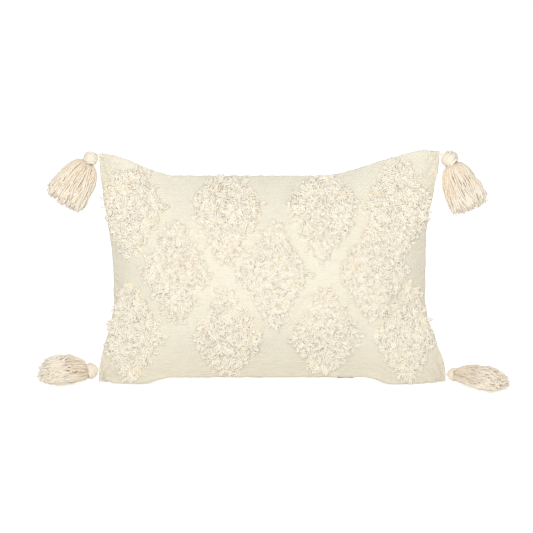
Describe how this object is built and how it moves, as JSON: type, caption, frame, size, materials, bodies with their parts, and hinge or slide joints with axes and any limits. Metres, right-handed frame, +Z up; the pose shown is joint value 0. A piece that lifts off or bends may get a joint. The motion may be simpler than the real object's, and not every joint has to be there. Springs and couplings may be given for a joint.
{
  "type": "throw pillow",
  "caption": "Lumbar throw pillow: woven cover with raised tuft medallions on its front, a tassel at each corner, a zip in the bottom seam and a filled insert.",
  "frame": {"origin": "middle of the pillow's footprint, tassels included, on the surface that it stands on", "axes": "+Z up from the surface, +X along the long side to the right as seen from the tufted front, +Y from the front to the back"},
  "size_m": [0.6596, 0.1547, 0.3281],
  "materials": {
    "ground_cloth": "slub cotton plain weave",
    "tuft_yarn": "soft cut cotton yarn",
    "tassel_yarn": "loose plied cotton yarn",
    "lining_cloth": "plain close-woven lining",
    "fill_fibre": "loose fibre",
    "zip_tape": "woven tape",
    "zip_coil": "moulded filament coil",
    "zip_metal": "lacquered, satin"
  },
  "bodies": {
    "cushion": {"cover_front_panel": "ground_cloth", "cover_back_panel": "ground_cloth", "insert_front_panel": "lining_cloth", "insert_back_panel": "lining_cloth", "fibre_fill": "fill_fibre", "zip_tape_front": "zip_tape", "zip_tape_back": "zip_tape", "zip_coil_front": "zip_coil", "zip_coil_back": "zip_coil", "zip_end_stops": "zip_metal", "tuft_medallion_a1": "tuft_yarn", "tuft_medallion_a2": "tuft_yarn", "tuft_medallion_a3": "tuft_yarn", "tuft_medallion_a4": "tuft_yarn", "tuft_medallion_b1": "tuft_yarn", "tuft_medallion_b2": "tuft_yarn", "tuft_medallion_b3": "tuft_yarn", "tuft_medallion_c1": "tuft_yarn", "tuft_medallion_c2": "tuft_yarn", "tuft_medallion_c3": "tuft_yarn", "tuft_medallion_c4": "tuft_yarn"},
    "slider": {"zip_slider": "zip_metal"},
    "pull": {"zip_pull": "zip_metal"},
    "loop_top_left": {"tassel_loop_top_left": "tassel_yarn"},
    "tassel_top_left": {"tassel_knot_top_left": "tassel_yarn", "tassel_skirt_top_left": "tassel_yarn"},
    "loop_top_right": {"tassel_loop_top_right": "tassel_yarn"},
    "tassel_top_right": {"tassel_knot_top_right": "tassel_yarn", "tassel_skirt_top_right": "tassel_yarn"},
    "loop_bottom_left": {"tassel_loop_bottom_left": "tassel_yarn"},
    "tassel_bottom_left": {"tassel_knot_bottom_left": "tassel_yarn", "tassel_skirt_bottom_left": "tassel_yarn"},
    "loop_bottom_right": {"tassel_loop_bottom_right": "tassel_yarn"},
    "tassel_bottom_right": {"tassel_knot_bottom_right": "tassel_yarn", "tassel_skirt_bottom_right": "tassel_yarn"}
  },
  "joints": [
    {"name": "zip_slide", "type": "slide", "parent": "cushion", "child": "slider", "axis": [-1, 0, 0], "range_m": [0, 0.236]},
    {"name": "zip_pull_swing", "type": "hinge", "parent": "slider", "child": "pull", "pos_m": [0.11369, 0.00624, 0.0072], "axis": [0, -1, 0], "range_deg": [0, 150]},
    {"name": "top_left_swing", "type": "hinge", "parent": "cushion", "child": "loop_top_left", "pos_m": [-0.24059, 0.00624, 0.32033], "axis": [0, 1, 0], "range_deg": [-8, 62]},
    {"name": "top_left_sway", "type": "hinge", "parent": "loop_top_left", "child": "tassel_top_left", "pos_m": [-0.24482, 0.00624, 0.31875], "axis": [-0.3511, 0, 0.9363], "range_deg": [-30, 30]},
    {"name": "top_right_swing", "type": "hinge", "parent": "cushion", "child": "loop_top_right", "pos_m": [0.23497, 0.00624, 0.32212], "axis": [0, -1, 0], "range_deg": [-8, 78]},
    {"name": "top_right_sway", "type": "hinge", "parent": "loop_top_right", "child": "tassel_top_right", "pos_m": [0.23973, 0.00624, 0.31964], "axis": [0.4626, 0, 0.8866], "range_deg": [-30, 30]},
    {"name": "bottom_left_swing", "type": "hinge", "parent": "cushion", "child": "loop_bottom_left", "pos_m": [-0.24661, 0.00624, 0.0176], "axis": [0, 1, 0], "range_deg": [-14, 45]},
    {"name": "bottom_left_sway", "type": "hinge", "parent": "loop_bottom_left", "child": "tassel_bottom_left", "pos_m": [-0.25051, 0.00624, 0.0176], "axis": [0, 0, 1], "range_deg": [-30, 30]},
    {"name": "bottom_right_swing", "type": "hinge", "parent": "cushion", "child": "loop_bottom_right", "pos_m": [0.24899, 0.00624, 0.0102], "axis": [0, -1, 0], "range_deg": [-14, 45]},
    {"name": "bottom_right_sway", "type": "hinge", "parent": "loop_bottom_right", "child": "tassel_bottom_right", "pos_m": [0.25329, 0.00624, 0.0102], "axis": [0, 0, 1], "range_deg": [-30, 30]}
  ]
}
